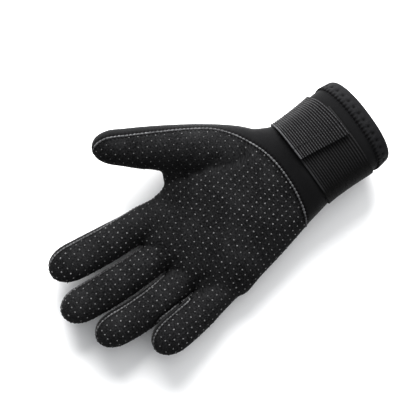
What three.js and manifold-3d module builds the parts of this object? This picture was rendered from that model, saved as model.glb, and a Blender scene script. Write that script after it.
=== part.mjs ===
// A neoprene diving glove for the right hand, lying on its back with the palm up.
// Millimetres and degrees. +Y runs to the finger tips, +X to the thumb side, +Z up out of the palm.
// The origin is on the flat of the back of the hand, which rests on the surface z = 0.

import * as THREE from "three";
import { mergeVertices } from "three/addons/utils/BufferGeometryUtils.js";
import Module from "manifold-3d";

// Neoprene sheet and the clearances between pieces
const wall = 2.5;
const seamGap = 0.3;
const pieceGap = 0.3;

// Main form of the hand. The palm runs from the wrist line to the finger crotches. The origin
// is fromWrist away from that line, and the end at the crotches is rounded over endRound.
const palm = { fromWrist: 50, length: 113, width: 106, depth: 38, endRound: 15 };

// Cuff, a flattened tube from the wrist line to the rim. It turns out towards the thumb by yaw.
const cuff = { length: 54, width: 69, depth: 45, yaw: 7.5, offAxis: 1.8 };

// Four fingers and the thumb: own length, width and depth, measured from a root inside the palm.
// heading is the turn from +Y towards the thumb side and lift the climb off the surface, root and tip.
const digits = {
  index: { length: 92, width: 26.4, depth: 24.5, heading: [-4.2, 4], lift: [0, 13], roll: [14, 14] },
  middle: { length: 103, width: 26.6, depth: 25, heading: [-10.3, 3], lift: [0, 13], roll: [10, 10] },
  ring: { length: 97, width: 25, depth: 24, heading: [-23.7, 7], lift: [0, 15], roll: [14, 14] },
  little: { length: 76.5, width: 25.6, depth: 23, heading: [-16, -8], lift: [7, 17], roll: [18, 18] },
  thumb: { length: 124, width: 27, depth: 26, heading: [29, 30], lift: [2, 17], roll: [48, 0] },
};

// Elastic closure and hem
const strap = { width: 37, thickness: 1.5, fromWrist: 6 };
const hook = { thickness: 1.5, edge: 3 };
const hem = { width: 8, thickness: 1.3 };

// Where each digit starts, as shares of the palm's width, length and depth
const roots = {
  index: { across: 0.194, along: 0.84, lift: 0.35 },
  middle: { across: -0.022, along: 0.814, lift: 0.35 },
  ring: { across: -0.202, along: 0.761, lift: 0.35 },
  little: { across: -0.432, along: 0.655, lift: 0.36 },
  thumb: { across: 0.217, along: 0.088, lift: 0.56 },
};

// Sections of the palm: centre and half width as shares of its width, along as a share of its
// length, rise (half depth) and lift (height of the centre) as shares of its depth.
const palmSections = [
  { along: 0.0, centre: 0.018, half: 0.333, rise: 0.57, lift: 0.62, skew: 7.5, power: 2.3 },
  { along: 0.1, centre: 0.016, half: 0.37, rise: 0.54, lift: 0.56, skew: 4, power: 2.4 },
  { along: 0.22, centre: -0.002, half: 0.408, rise: 0.53, lift: 0.52, skew: 0, power: 2.5 },
  { along: 0.36, centre: -0.014, half: 0.448, rise: 0.52, lift: 0.49, skew: 0, power: 2.6 },
  { along: 0.5, centre: -0.02, half: 0.487, rise: 0.505, lift: 0.47, skew: 1, power: 2.6 },
  { along: 0.59, centre: -0.035, half: 0.506, rise: 0.48, lift: 0.45, skew: 2, power: 2.6 },
  { along: 0.66, centre: -0.09, half: 0.474, rise: 0.45, lift: 0.43, skew: 4, power: 2.5 },
  { along: 0.74, centre: -0.125, half: 0.44, rise: 0.42, lift: 0.41, skew: 8, power: 2.4 },
  { along: 0.85, centre: -0.134, half: 0.435, rise: 0.375, lift: 0.385, skew: 15, power: 2.3 },
  { along: 1.0, centre: -0.134, half: 0.42, rise: 0.325, lift: 0.36, skew: 19, power: 2.2 },
];

// Sections of the cuff, as shares of its length, width and depth. pitch leans the palm side out.
const cuffSections = [
  { along: 0.0, half: 0.508, rise: 0.49, pitch: 0 },
  { along: 0.1, half: 0.479, rise: 0.48, pitch: 0 },
  { along: 0.45, half: 0.474, rise: 0.478, pitch: 1.5 },
  { along: 0.775, half: 0.488, rise: 0.49, pitch: 5 },
  { along: 0.86, half: 0.488, rise: 0.495, pitch: 14 },
  { along: 1.0, half: 0.475, rise: 0.49, pitch: 18 },
];

// Outline of a finger and of the thumb, as shares of its own length, width and depth
const fingerSections = [
  { along: 0.0, half: 0.36, rise: 0.38 },
  { along: 0.14, half: 0.43, rise: 0.48 },
  { along: 0.3, half: 0.46, rise: 0.5 },
  { along: 0.5, half: 0.49, rise: 0.495 },
  { along: 0.7, half: 0.5, rise: 0.48 },
  { along: 1.0, half: 0.49, rise: 0.45 },
];
const thumbSections = [
  { along: 0.0, half: 0.36, rise: 0.4 },
  { along: 0.08, half: 0.52, rise: 0.56 },
  { along: 0.19, half: 0.61, rise: 0.66 },
  { along: 0.38, half: 0.635, rise: 0.7 },
  { along: 0.57, half: 0.6, rise: 0.62 },
  { along: 0.75, half: 0.525, rise: 0.51 },
  { along: 0.85, half: 0.468, rise: 0.46 },
  { along: 1.0, half: 0.46, rise: 0.44 },
];

// Web between the thumb and the palm: a rounded fill in the fork, as shares of the palm's sizes
const web = { across: 0.335, along: 0.625, lift: 0.55, half: 0.1, reach: 0.115, rise: 0.22 };

// Seam of the palm panel seen from above, from past the thumb tip round the heel to past the
// little finger's side, as shares of the palm's width and length from the wrist line.
const seamLine = [
  { across: 0.74, along: 1.1 },
  { across: 0.785, along: 1.0 },
  { across: 0.785, along: 0.93 },
  { across: 0.765, along: 0.87 },
  { across: 0.735, along: 0.8 },
  { across: 0.7, along: 0.715 },
  { across: 0.66, along: 0.62 },
  { across: 0.62, along: 0.525 },
  { across: 0.58, along: 0.435 },
  { across: 0.52, along: 0.335 },
  { across: 0.43, along: 0.245 },
  { across: 0.33, along: 0.175 },
  { across: 0.22, along: 0.12 },
  { across: 0.1, along: 0.085 },
  { across: -0.03, along: 0.068 },
  { across: -0.17, along: 0.065 },
  { across: -0.3, along: 0.08 },
  { across: -0.44, along: 0.12 },
];

const radians = THREE.MathUtils.degToRad;
const up = new THREE.Vector3(0, 0, 1);
const wasm = await Module();
wasm.setup();

// A column of a table at a share of its run, on a smooth curve through the rows.
function read(table, column, at) {
  const last = table.length - 1;
  let row = 0;
  while (row < last - 1 && at > table[row + 1].along) row += 1;
  const slope = (i) => {
    const a = table[Math.max(i - 1, 0)];
    const b = table[Math.min(i + 1, last)];
    return (b[column] - a[column]) / (b.along - a.along);
  };
  const [from, to] = [table[row], table[row + 1]];
  const run = to.along - from.along;
  const t = (at - from.along) / run;
  const [t2, t3] = [t * t, t * t * t];
  return (
    (2 * t3 - 3 * t2 + 1) * from[column] +
    (t3 - 2 * t2 + t) * run * slope(row) +
    (3 * t2 - 2 * t3) * to[column] +
    (t3 - t2) * run * slope(row + 1)
  );
}

// Closed loft through rings of equal counts; both ends are closed with a fan.
function loft(rings) {
  const count = rings[0].length;
  const points = rings.flat();
  const faces = [];
  for (let r = 0; r + 1 < rings.length; r += 1) {
    for (let i = 0; i < count; i += 1) {
      const [a, b] = [r * count + i, r * count + ((i + 1) % count)];
      faces.push(a, b, b + count, a, b + count, a + count);
    }
  }
  [0, rings.length - 1].forEach((r) => {
    const middle = new THREE.Vector3();
    rings[r].forEach((p) => middle.addScaledVector(p, 1 / count));
    points.push(middle);
    const tip = points.length - 1;
    for (let i = 0; i < count; i += 1) {
      const [a, b] = [r * count + i, r * count + ((i + 1) % count)];
      faces.push(...(r === 0 ? [b, a, tip] : [a, b, tip]));
    }
  });
  return new THREE.BufferGeometry().setFromPoints(points).setIndex(faces);
}

// A three.js geometry as a solid, turned to face out, and back again.
function solid(geometry) {
  const bare = geometry.clone();
  bare.deleteAttribute("normal");
  bare.deleteAttribute("uv");
  const merged = mergeVertices(bare, 1e-4);
  const triVerts = new Uint32Array(merged.index.array);
  const vertProperties = new Float32Array(merged.attributes.position.array);
  const made = new wasm.Manifold(new wasm.Mesh({ numProp: 3, vertProperties, triVerts }));
  if (made.volume() > 0) return made;
  return new wasm.Manifold(
    new wasm.Mesh({ numProp: 3, vertProperties, triVerts: triVerts.reverse() }),
  );
}

function geometryOf(made) {
  const mesh = made.getMesh();
  return new THREE.BufferGeometry()
    .setAttribute("position", new THREE.BufferAttribute(mesh.vertProperties, 3))
    .setIndex(new THREE.BufferAttribute(mesh.triVerts, 1));
}

// Everything above a level, as one large block.
function above(level) {
  const size = 4 * (palm.length + cuff.length);
  const block = new THREE.BoxGeometry(size, size, size).translate(0, 0, level + size / 2);
  return solid(block);
}

// A point of a section: angle 0 is its thumb side, 90 its palm side. grow moves it outwards.
function onSection(section, angle, grow = 0) {
  const [c, s] = [Math.cos(radians(angle)), Math.sin(radians(angle))];
  const bend = 2 / section.power;
  const x = (section.half + grow) * Math.sign(c) * Math.abs(c) ** bend;
  const z = (section.rise + grow) * Math.sign(s) * Math.abs(s) ** bend;
  return section.centre.clone().addScaledVector(section.side, x).addScaledVector(section.top, z);
}

function ring(section, grow, count) {
  return Array.from({ length: count }, (_, i) => onSection(section, (360 * i) / count, grow));
}

// Section of the cuff at a distance from the wrist line, also a little past the rim.
function cuffSection(distance) {
  const at = Math.min(distance / cuff.length, 1);
  const axis = new THREE.Vector3(Math.sin(radians(cuff.yaw)), -Math.cos(radians(cuff.yaw)), 0);
  const side = new THREE.Vector3(Math.cos(radians(cuff.yaw)), Math.sin(radians(cuff.yaw)), 0);
  const pitch = radians(read(cuffSections, "pitch", at));
  const lift = cuff.depth / 2 + strap.thickness + pieceGap;
  return {
    centre: new THREE.Vector3(cuff.offAxis, -palm.fromWrist, lift).addScaledVector(axis, distance),
    side,
    top: up.clone().multiplyScalar(Math.cos(pitch)).addScaledVector(axis, Math.sin(pitch)),
    half: read(cuffSections, "half", at) * cuff.width,
    rise: read(cuffSections, "rise", at) * cuff.depth,
    power: palmSections[0].power,
  };
}

function palmSection(along) {
  const skew = radians(read(palmSections, "skew", along));
  return {
    centre: new THREE.Vector3(
      read(palmSections, "centre", along) * palm.width,
      along * palm.length - palm.fromWrist,
      read(palmSections, "lift", along) * palm.depth,
    ),
    side: new THREE.Vector3(Math.cos(skew), Math.sin(skew), 0),
    top: up.clone(),
    half: read(palmSections, "half", along) * palm.width,
    rise: read(palmSections, "rise", along) * palm.depth,
    power: read(palmSections, "power", along),
  };
}

// How far a rounded end has closed, from 1 where the rounding starts to 0 at the end.
function roundEnd(left, run, power) {
  const t = Math.min(Math.max(1 - left / run, 0), 1);
  return (1 - t ** power) ** (1 / power);
}

// The hand's main body, cuff and palm. inset is 0 for its outside and the wall for its hollow,
// which runs out past the rim. The palm's end closes bluntly in plan and roundly from the side.
const bodyPoints = 28;
const palmStations = [0.08, 0.17, 0.28, 0.39, 0.5, 0.59, 0.67, 0.76];
const closingStations = [0.3, 0.62, 0.84, 0.96, 1];
const closingPower = { plan: 5, side: 2 };
const lastRing = 0.01;
function bodyLoft(inset) {
  const rings = cuffStations().map((d) => ring(cuffSection(d), -inset, bodyPoints));
  if (inset > 0) rings.unshift(ring(cuffSection(cuff.length + hem.width), -inset, bodyPoints));
  const reach = palm.length - inset;
  const closing = closingStations.map((t) => (reach - palm.endRound * (1 - t)) / palm.length);
  const open = palmStations.filter((along) => along < closing[0]);
  [...open, ...closing].forEach((along) => {
    const section = palmSection(along);
    const left = reach - along * palm.length;
    const closed = (size, power) =>
      Math.max((size - inset) * roundEnd(left, palm.endRound, power), lastRing * palm.depth);
    section.half = closed(section.half, closingPower.plan);
    section.rise = closed(section.rise, closingPower.side);
    rings.push(ring(section, 0, bodyPoints));
  });
  return loft(rings);
}

// Distances from the wrist line at which the cuff has a section, from the rim inwards.
const bandShares = [0, 0.5, 1];
const bandStep = 10;
function cuffStations() {
  const far = strap.fromWrist + strap.width;
  const rim = cuff.length;
  const strapRows = bandShares.map((t) => far - t * strap.width);
  return [rim, rim - hem.width / 2, rim - hem.width, ...strapRows, strap.fromWrist / 2, 0];
}

// Centre line of a digit: points at equal steps from its root, turning and climbing evenly.
const pathSteps = 60;
function digitPath(name) {
  const digit = digits[name];
  const root = roots[name];
  const at = new THREE.Vector3(
    root.across * palm.width,
    root.along * palm.length - palm.fromWrist,
    root.lift * palm.depth,
  );
  const path = [];
  for (let i = 0; i <= pathSteps; i += 1) {
    const t = i / pathSteps;
    const heading = radians(THREE.MathUtils.lerp(...digit.heading, t));
    const lift = radians(THREE.MathUtils.lerp(...digit.lift, t));
    const axis = new THREE.Vector3(
      Math.sin(heading) * Math.cos(lift),
      Math.cos(heading) * Math.cos(lift),
      Math.sin(lift),
    );
    path.push({ at: at.clone(), axis });
    at.addScaledVector(axis, digit.length / pathSteps);
  }
  return path;
}

function digitSection(name, along) {
  const digit = digits[name];
  const table = name === "thumb" ? thumbSections : fingerSections;
  const path = digitPath(name);
  const step = Math.min(Math.max(along, 0), 1) * pathSteps;
  const low = Math.min(Math.floor(step), pathSteps - 1);
  const centre = path[low].at.clone().lerp(path[low + 1].at, step - low);
  const axis = path[low].axis.clone().lerp(path[low + 1].axis, step - low).normalize();
  const side = new THREE.Vector3().crossVectors(axis, up).normalize();
  return {
    centre,
    side,
    top: new THREE.Vector3().crossVectors(side, axis),
    half: read(table, "half", along) * digit.width,
    rise: read(table, "rise", along) * digit.depth,
    power: digitPower,
    axis,
  };
}

// A digit's loft: sections at these shares, then a tip rounded over a share of the width.
const digitPoints = { outside: 15, hollow: 12 };
const digitPower = 2.1;
const digitStations = [0, 0.15, 0.3, 0.45, 0.6, 0.75];
const tipShare = 0.68;
const tipPower = 2.2;
const tipAngles = [18, 36, 53, 68, 81];
function digitLoft(name, inset) {
  const digit = digits[name];
  const reach = digit.length - inset;
  const tip = tipShare * digit.width - inset;
  const count = inset > 0 ? digitPoints.hollow : digitPoints.outside;
  const straight = digitStations.filter((along) => along * digit.length < reach - 1.2 * tip);
  const rounded = tipAngles.map((a) => (reach - tip * (1 - Math.sin(radians(a)))) / digit.length);
  const rings = [...straight, (reach - tip) / digit.length, ...rounded].map((along) => {
    const section = digitSection(name, along);
    const closed = roundEnd(reach - along * digit.length, tip, tipPower);
    section.half = (section.half - inset) * closed;
    section.rise = (section.rise - inset) * closed;
    return ring(section, 0, count);
  });
  return loft(rings);
}

// Outside of the whole glove, or its hollow, kept off the surface that it lies on.
function handForm(inset) {
  let form = solid(bodyLoft(inset));
  Object.keys(digits).forEach((name) => {
    form = form.add(solid(digitLoft(name, inset)));
  });
  return form.add(webForm(inset)).intersect(above(inset));
}

function webForm(inset) {
  const ball = new THREE.SphereGeometry(1, 14, 8).rotateX(Math.PI / 2);
  ball.scale(
    web.half * palm.width - inset,
    web.reach * palm.length - inset,
    web.rise * palm.depth - inset,
  );
  const at = [web.across * palm.width, web.along * palm.length - palm.fromWrist];
  return solid(ball.translate(...at, web.lift * palm.depth));
}

// What lies on the palm side of a run of sections. Its lower face meets the centre line, is
// rolled down from there on the little finger's side and up on the thumb side, and drop lowers it.
function palmSide(sections, margin, drop) {
  const reach = 0.8 * palm.depth;
  return loft(
    sections.map(({ section, roll, level }) => {
      const wide = section.half + margin;
      const [down, climb] = roll.map((angle) => Math.tan(radians(angle)) * wide);
      const corner = (x, z) =>
        section.centre.clone().addScaledVector(section.side, x).addScaledVector(section.top, z);
      const low = level * section.rise - drop;
      return [
        corner(-wide, low - down),
        corner(0, low),
        corner(wide, low + climb),
        corner(wide, section.rise + reach),
        corner(-wide, section.rise + reach),
      ];
    }),
  );
}

// The roll of a digit's seam grows from its root to its full angle at rollFrom.
const seamStations = [0, 0.15, 0.3, 0.45, 0.6, 0.75, 0.88, 1];
const rollFrom = 0.5;
function digitSide(name, drop) {
  const { roll, length } = digits[name];
  const sections = seamStations.map((along) => ({
    section: digitSection(name, along),
    roll: roll.map((angle) => angle * Math.min(along / rollFrom, 1)),
    level: 0,
  }));
  const tip = sections[sections.length - 1];
  const beyond = { ...tip.section, centre: tip.section.centre.clone() };
  beyond.centre.addScaledVector(tip.section.axis, 0.1 * length);
  sections.push({ ...tip, section: beyond });
  return palmSide(sections, pieceGap + drop, drop);
}

// On the body the seam lies a little below the middle, so level is under 0. The cutter starts
// behind the wrist line and is wider than the body, to leave no skin at its sides.
const bodySeam = { from: -0.05, to: 1, count: 8, roll: [3, 3], level: -0.12, margin: 0.06 };
function bodySide(drop) {
  const sections = Array.from({ length: bodySeam.count }, (_, i) => ({
    section: palmSection(
      THREE.MathUtils.lerp(bodySeam.from, bodySeam.to, i / (bodySeam.count - 1)),
    ),
    roll: bodySeam.roll,
    level: bodySeam.level,
  }));
  return palmSide(sections, bodySeam.margin * palm.width + drop, drop);
}

// Upright prism inside the seam line of the palm, out past the fingers everywhere else.
const seamSteps = 34;
function seamPrism(grow) {
  const height = 4 * palm.depth;
  const far = 2 * palm.length;
  const line = new THREE.CatmullRomCurve3(
    seamLine.map(
      ({ across, along }) =>
        new THREE.Vector3(across * palm.width, along * palm.length - palm.fromWrist, 0),
    ),
    false,
    "centripetal",
  );
  const points = [];
  for (let i = 0; i <= seamSteps; i += 1) {
    const at = line.getPoint(i / seamSteps);
    const along = line.getTangent(i / seamSteps);
    points.push(new THREE.Vector2(at.x + along.y * -grow, at.y + along.x * grow));
  }
  points.push(new THREE.Vector2(-far, points[points.length - 1].y));
  points.push(new THREE.Vector2(-far, far), new THREE.Vector2(points[0].x, far));
  const shape = new THREE.Shape(points);
  const prism = new THREE.ExtrudeGeometry(shape, { depth: height, bevelEnabled: false });
  return solid(prism.translate(0, 0, -height / 4));
}

function palmRegion(drop) {
  let region = solid(bodySide(drop));
  Object.keys(digits).forEach((name) => {
    region = region.add(solid(digitSide(name, drop)));
  });
  return region.intersect(seamPrism(drop));
}

// A band on the cuff between two distances from the wrist line and between two angles.
// lift(angle) is how far its inner face stands off the cuff.
function cuffBand({ from, to, start, end, thickness, lift, slant = 0 }) {
  const steps = Math.ceil((end - start) / bandStep);
  const rings = [];
  for (let i = 0; i <= steps; i += 1) {
    const t = i / steps;
    const face = (share, extra) => {
      const angle = THREE.MathUtils.lerp(start, end + slant * (share - 0.5), t);
      return onSection(cuffSection(from + share * (to - from)), angle, lift(angle) + extra);
    };
    rings.push([
      ...bandShares.map((share) => face(share, 0)),
      ...bandShares.toReversed().map((share) => face(share, thickness)),
    ]);
  }
  return loft(rings);
}

// Angles round the cuff: the band starts under the tab, runs over the little finger's side and
// the back, and meets the tab at the join; the tab comes on round the thumb side, rises over the
// start of the band between rampStart and rampEnd, and ends free at tabEnd.
const strapAngles = {
  bandStart: 58,
  join: 336,
  joinGap: 0.6,
  rampStart: 378,
  rampEnd: 416,
  hookStart: 61,
  hookEnd: 87,
  tabEnd: 450,
  slant: 5.5,
};
const strapFar = strap.fromWrist + strap.width;
const tabLift = pieceGap + strap.thickness + pieceGap + hook.thickness + pieceGap;

function strapBand() {
  return cuffBand({
    from: strap.fromWrist,
    to: strapFar,
    start: strapAngles.bandStart,
    end: strapAngles.join,
    thickness: strap.thickness,
    lift: () => pieceGap,
  });
}

function strapTab() {
  const { join, joinGap, rampStart, rampEnd, tabEnd, slant } = strapAngles;
  const climb = (angle) => THREE.MathUtils.smoothstep(angle, rampStart, rampEnd);
  return cuffBand({
    from: strap.fromWrist,
    to: strapFar,
    start: join + joinGap,
    end: tabEnd,
    slant,
    thickness: strap.thickness,
    lift: (angle) => THREE.MathUtils.lerp(pieceGap, tabLift, climb(angle)),
  });
}

function hookPatch() {
  return cuffBand({
    from: strap.fromWrist + hook.edge,
    to: strapFar - hook.edge,
    start: strapAngles.hookStart,
    end: strapAngles.hookEnd,
    slant: strapAngles.slant,
    thickness: hook.thickness,
    lift: () => pieceGap + strap.thickness + pieceGap,
  });
}

// Turned hem: a channel that closes over the rim, on the outside, the edge and the inside.
function cuffHem() {
  const [outer, inner] = [pieceGap, -wall - pieceGap];
  const edge = cuff.length + pieceGap;
  const start = cuff.length - hem.width;
  const middle = cuff.length - hem.width / 2;
  const thick = hem.thickness;
  const profile = [
    [start, outer],
    [middle, outer],
    [edge, outer],
    [edge, inner],
    [middle, inner],
    [start, inner],
    [start, inner - thick],
    [middle, inner - thick],
    [edge + thick * 0.5, inner - thick],
    [edge + thick, inner - thick * 0.5],
    [edge + thick, outer + thick * 0.5],
    [edge + thick * 0.5, outer + thick],
    [middle, outer + thick],
    [start, outer + thick],
  ];
  const rings = [];
  for (let i = 0; i < bodyPoints; i += 1) {
    const angle = (360 * i) / bodyPoints;
    rings.push(profile.map(([distance, grow]) => onSection(cuffSection(distance), angle, grow)));
  }
  return closedRing(rings);
}

// Rings joined all the way round, the last to the first.
function closedRing(rings) {
  const count = rings[0].length;
  const faces = [];
  rings.forEach((_, r) => {
    const next = (r + 1) % rings.length;
    for (let i = 0; i < count; i += 1) {
      const j = (i + 1) % count;
      faces.push(r * count + i, r * count + j, next * count + j);
      faces.push(r * count + i, next * count + j, next * count + i);
    }
  });
  return new THREE.BufferGeometry().setFromPoints(rings.flat()).setIndex(faces);
}

const glove = new THREE.Group();

function addPiece(name, made, color, roughness) {
  const material = new THREE.MeshStandardMaterial({ color, roughness, metalness: 0 });
  const mesh = new THREE.Mesh(geometryOf(made), material);
  mesh.name = name;
  glove.add(mesh);
}

const shell = handForm(0).subtract(handForm(wall));
addPiece("back_panel", shell.subtract(palmRegion(seamGap)), 0x1f1f21, 0.85);
addPiece("palm_panel", shell.intersect(palmRegion(0)), 0x242426, 0.9);
addPiece("cuff_hem", solid(cuffHem()).intersect(above(0)), 0x2a2a2c, 0.85);
addPiece("strap_band", solid(strapBand()).intersect(above(0)), 0x1c1c1e, 0.8);
addPiece("strap_tab", solid(strapTab()).intersect(above(0)), 0x333336, 0.75);
addPiece("hook_patch", solid(hookPatch()), 0x141415, 0.95);

export default glove;
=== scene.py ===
import math
import random

import bmesh
import bpy
import numpy as np
from mathutils import Matrix, Vector
from mathutils.kdtree import KDTree


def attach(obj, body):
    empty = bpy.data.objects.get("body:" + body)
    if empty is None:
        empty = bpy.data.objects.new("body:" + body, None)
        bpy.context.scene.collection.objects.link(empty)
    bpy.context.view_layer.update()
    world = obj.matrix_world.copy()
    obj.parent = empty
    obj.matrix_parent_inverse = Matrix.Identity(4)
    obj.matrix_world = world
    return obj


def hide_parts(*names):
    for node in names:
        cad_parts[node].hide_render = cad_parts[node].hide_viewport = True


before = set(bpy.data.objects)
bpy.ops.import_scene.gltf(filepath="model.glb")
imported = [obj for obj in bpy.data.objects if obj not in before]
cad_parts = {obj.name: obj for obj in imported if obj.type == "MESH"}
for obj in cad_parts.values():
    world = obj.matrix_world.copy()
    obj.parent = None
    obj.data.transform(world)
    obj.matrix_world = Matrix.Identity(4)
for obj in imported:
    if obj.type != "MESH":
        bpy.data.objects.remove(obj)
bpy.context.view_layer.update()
print("frame loaded:", sorted(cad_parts))

# Everything is worked out in millimetres and turned into metres when a piece is finished.
# +Y runs to the finger tips, +X to the thumb side, +Z up out of the palm.
up = np.array([0.0, 0.0, 1.0])


def makeObject(name, data):
    piece = bpy.data.objects.new(name, data)
    bpy.context.scene.collection.objects.link(piece)
    return piece


def finishPiece(name, mesh, look, slotName, *nodes):
    mesh.transform(Matrix.Scale(0.001, 4))
    mesh.materials.clear()
    mesh.materials.append(materials[look])
    mesh.polygons.foreach_set("use_smooth", [True] * len(mesh.polygons))
    piece = makeObject(name, mesh)
    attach(piece, "root")
    if nodes:
        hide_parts(*nodes)
    print("made", name, len(mesh.polygons), "faces")
    return piece


# camera and light
view = {
    "middle": (6.4, 16.0),      # point under the camera
    "height": 900,
    "right": (-0.485, -0.875, 0),
    "lens": 107, "sensor": 36,
}
lights = {
    # name: (where in metres, size, watts)
    "keyFromThumbSide": ((0.86, -0.34, 0.58), 0.9, 36),
    "fillAbove": ((0.15, -0.45, 0.95), 1.4, 8),
    "rimFromFingers": ((0.3, 0.85, 0.45), 0.5, 0.6),
    "lowFromCuff": ((0.1, -0.8, 0.5), 0.6, 1.2),
}
studio = {
    "aim": (0, 0.01, 0.02),
    "sky": (0.9, 0.92, 0.95), "skyStrength": 0.38,
    "gamma": 0.85,
    "floor": 0.95, "floorRough": 0.9, "floorGloss": 0.1, "floorHalf": 4,
}


def makeCamera():
    cam = bpy.data.cameras.new("camera")
    cam.lens = view["lens"]
    cam.sensor_width = view["sensor"]
    cam.clip_start, cam.clip_end = 0.01, 20
    camera = makeObject("camera", cam)
    right = Vector(view["right"]).normalized()
    top = Vector((0, 0, 1)).cross(right)
    turn = Matrix((right, top, Vector((0, 0, 1)))).transposed().to_4x4()
    place = Matrix.Translation([value / 1000 for value in (*view["middle"], view["height"])])
    camera.matrix_world = place @ turn
    bpy.context.scene.camera = camera


def makeLights():
    for name, (place, size, power) in lights.items():
        lamp = bpy.data.lights.new(name, "AREA")
        lamp.shape = "DISK"
        lamp.size = size
        lamp.energy = power
        holder = makeObject(name, lamp)
        holder.location = place
        holder.rotation_euler = (Vector(studio["aim"]) - Vector(place)).to_track_quat("-Z", "Y").to_euler()
    world = bpy.data.worlds.new("studio")
    world.use_nodes = True
    sky = world.node_tree.nodes["Background"]
    sky.inputs["Color"].default_value = (*studio["sky"], 1)
    sky.inputs["Strength"].default_value = studio["skyStrength"]
    bpy.context.scene.world = world
    bpy.context.scene.view_settings.view_transform = "Standard"
    bpy.context.scene.view_settings.gamma = studio["gamma"]


def makeFloor():
    bm = bmesh.new()
    bmesh.ops.create_grid(bm, x_segments=2, y_segments=2, size=studio["floorHalf"])
    mesh = bpy.data.meshes.new("floor")
    bm.to_mesh(mesh)
    bm.free()
    pale = bpy.data.materials.new("paleFloor")
    pale.use_nodes = True
    shader = pale.node_tree.nodes["Principled BSDF"]
    shader.inputs["Base Color"].default_value = (*[studio["floor"]] * 3, 1)
    shader.inputs["Roughness"].default_value = studio["floorRough"]
    shader.inputs["Specular IOR Level"].default_value = studio["floorGloss"]
    mesh.materials.append(pale)
    makeObject("floor", mesh)


makeCamera()
makeLights()
makeFloor()
print("camera, lights and floor")


# form of the hand
palm = {
    "fromWrist": 50, "length": 113, "width": 106, "depth": 38, "endRound": 15,
    # along, centre, half, rise, lift, skew, power
    "sections": [
        (0.0, 0.018, 0.333, 0.57, 0.62, 7.5, 2.3),
        (0.1, 0.016, 0.37, 0.54, 0.56, 4, 2.4),
        (0.22, -0.002, 0.408, 0.53, 0.52, 0, 2.5),
        (0.36, -0.014, 0.448, 0.52, 0.49, 0, 2.6),
        (0.5, -0.02, 0.487, 0.505, 0.47, 1, 2.6),
        (0.59, -0.035, 0.506, 0.48, 0.45, 2, 2.6),
        (0.66, -0.09, 0.474, 0.45, 0.43, 4, 2.5),
        (0.74, -0.125, 0.44, 0.42, 0.41, 8, 2.4),
        (0.85, -0.134, 0.435, 0.375, 0.385, 15, 2.3),
        (1.0, -0.134, 0.42, 0.325, 0.36, 19, 2.2),
    ],
}
cuff = {
    "length": 54, "width": 69.6, "depth": 45, "yaw": 7.5, "offAxis": 1.2, "lift": 24.3, "power": 2.3,
    # along, half, rise, pitch
    "sections": [
        (0.0, 0.508, 0.49, 0), (0.1, 0.479, 0.48, 0), (0.45, 0.474, 0.478, 1.5),
        (0.775, 0.488, 0.49, 5), (0.86, 0.488, 0.495, 14), (1.0, 0.475, 0.49, 18),
    ],
}
# own length, width, depth, heading and lift at root and tip, roll of the seam down and up, root
digits = {
    "index": {"length": 92.4, "width": 27, "depth": 24.5, "heading": (-4.5, 4), "lift": (0, 13),
              "roll": (14, 30), "root": (0.199, 0.84, 0.35)},
    "middle": {"length": 102.4, "width": 25.9, "depth": 25, "heading": (-10.3, 3), "lift": (0, 13),
               "roll": (10, 16), "root": (-0.0265, 0.814, 0.35)},
    "ring": {"length": 97.3, "width": 25.4, "depth": 24, "heading": (-23.7, 7), "lift": (0, 15),
             "roll": (14, 30), "root": (-0.202, 0.761, 0.35)},
    "little": {"length": 76.5, "width": 26.4, "depth": 23, "heading": (-16, -8), "lift": (7, 17),
               "roll": (18, 32), "root": (-0.439, 0.655, 0.36)},
    "thumb": {"length": 124, "width": 27.6, "depth": 26, "heading": (29, 30), "lift": (2, 17),
              "roll": (24, 0), "root": (0.217, 0.088, 0.56)},
}
fingerSections = [(0.0, 0.36, 0.38), (0.14, 0.43, 0.48), (0.3, 0.448, 0.5), (0.5, 0.487, 0.495),
                  (0.7, 0.5, 0.48), (1.0, 0.49, 0.45)]
thumbSections = [(0.0, 0.36, 0.4), (0.08, 0.52, 0.56), (0.19, 0.61, 0.66), (0.38, 0.635, 0.7),
                 (0.57, 0.6, 0.62), (0.75, 0.525, 0.51), (0.85, 0.468, 0.46), (1.0, 0.46, 0.44)]
web = {"across": 0.352, "along": 0.632, "lift": 0.55, "half": 0.115, "reach": 0.115, "rise": 0.22}
tip = {"share": 0.68, "power": 2.2, "sectionPower": 2.1}
# the thumb's palm side turns to the fork, and is flatter
thumbTurn = {"degrees": 24, "flatter": 0.13, "from": 0.1, "over": 0.35}
skin = {
    "wall": 2.5,
    "voxel": 1.2,
    "inset": 0.7,         # fused this much smaller and filled out again, so that the fingers stay apart
    "fill": 0.95,
    "trim": 55,           # where the cuff is cut off, under the hem
    "ringPoints": 56, "ringStep": 3, "pastCuff": 12,
    "palmFrom": 0.06, "palmRings": 30, "digitRings": 26,
    "smoothAll": 4,       # rounds of smoothing everywhere
    "smoothForks": 18, "forkShare": 0.12, "forksPast": 20,      # and in the forks between the digits
    "smoothWeb": 45, "webAt": (42, 31), "webRound": 15,
    "smoothLast": 2,
    "facing": 0.7,        # creases fade where the cloth turns away from the palm side
    "restSoft": 1.2, "restGap": 0.1,        # how softly the back of the hand lies down
    "fineNear": 3.2, "smoothNear": 4,       # finer and smoother faces along the seam
    # how far past its end a form still counts, and how sharply one form gives way to the next
    "endFade": 12, "palmEnd": 6, "sharpForks": 5, "sharpSeam": 12, "sharpCloth": 4,
}


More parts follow.
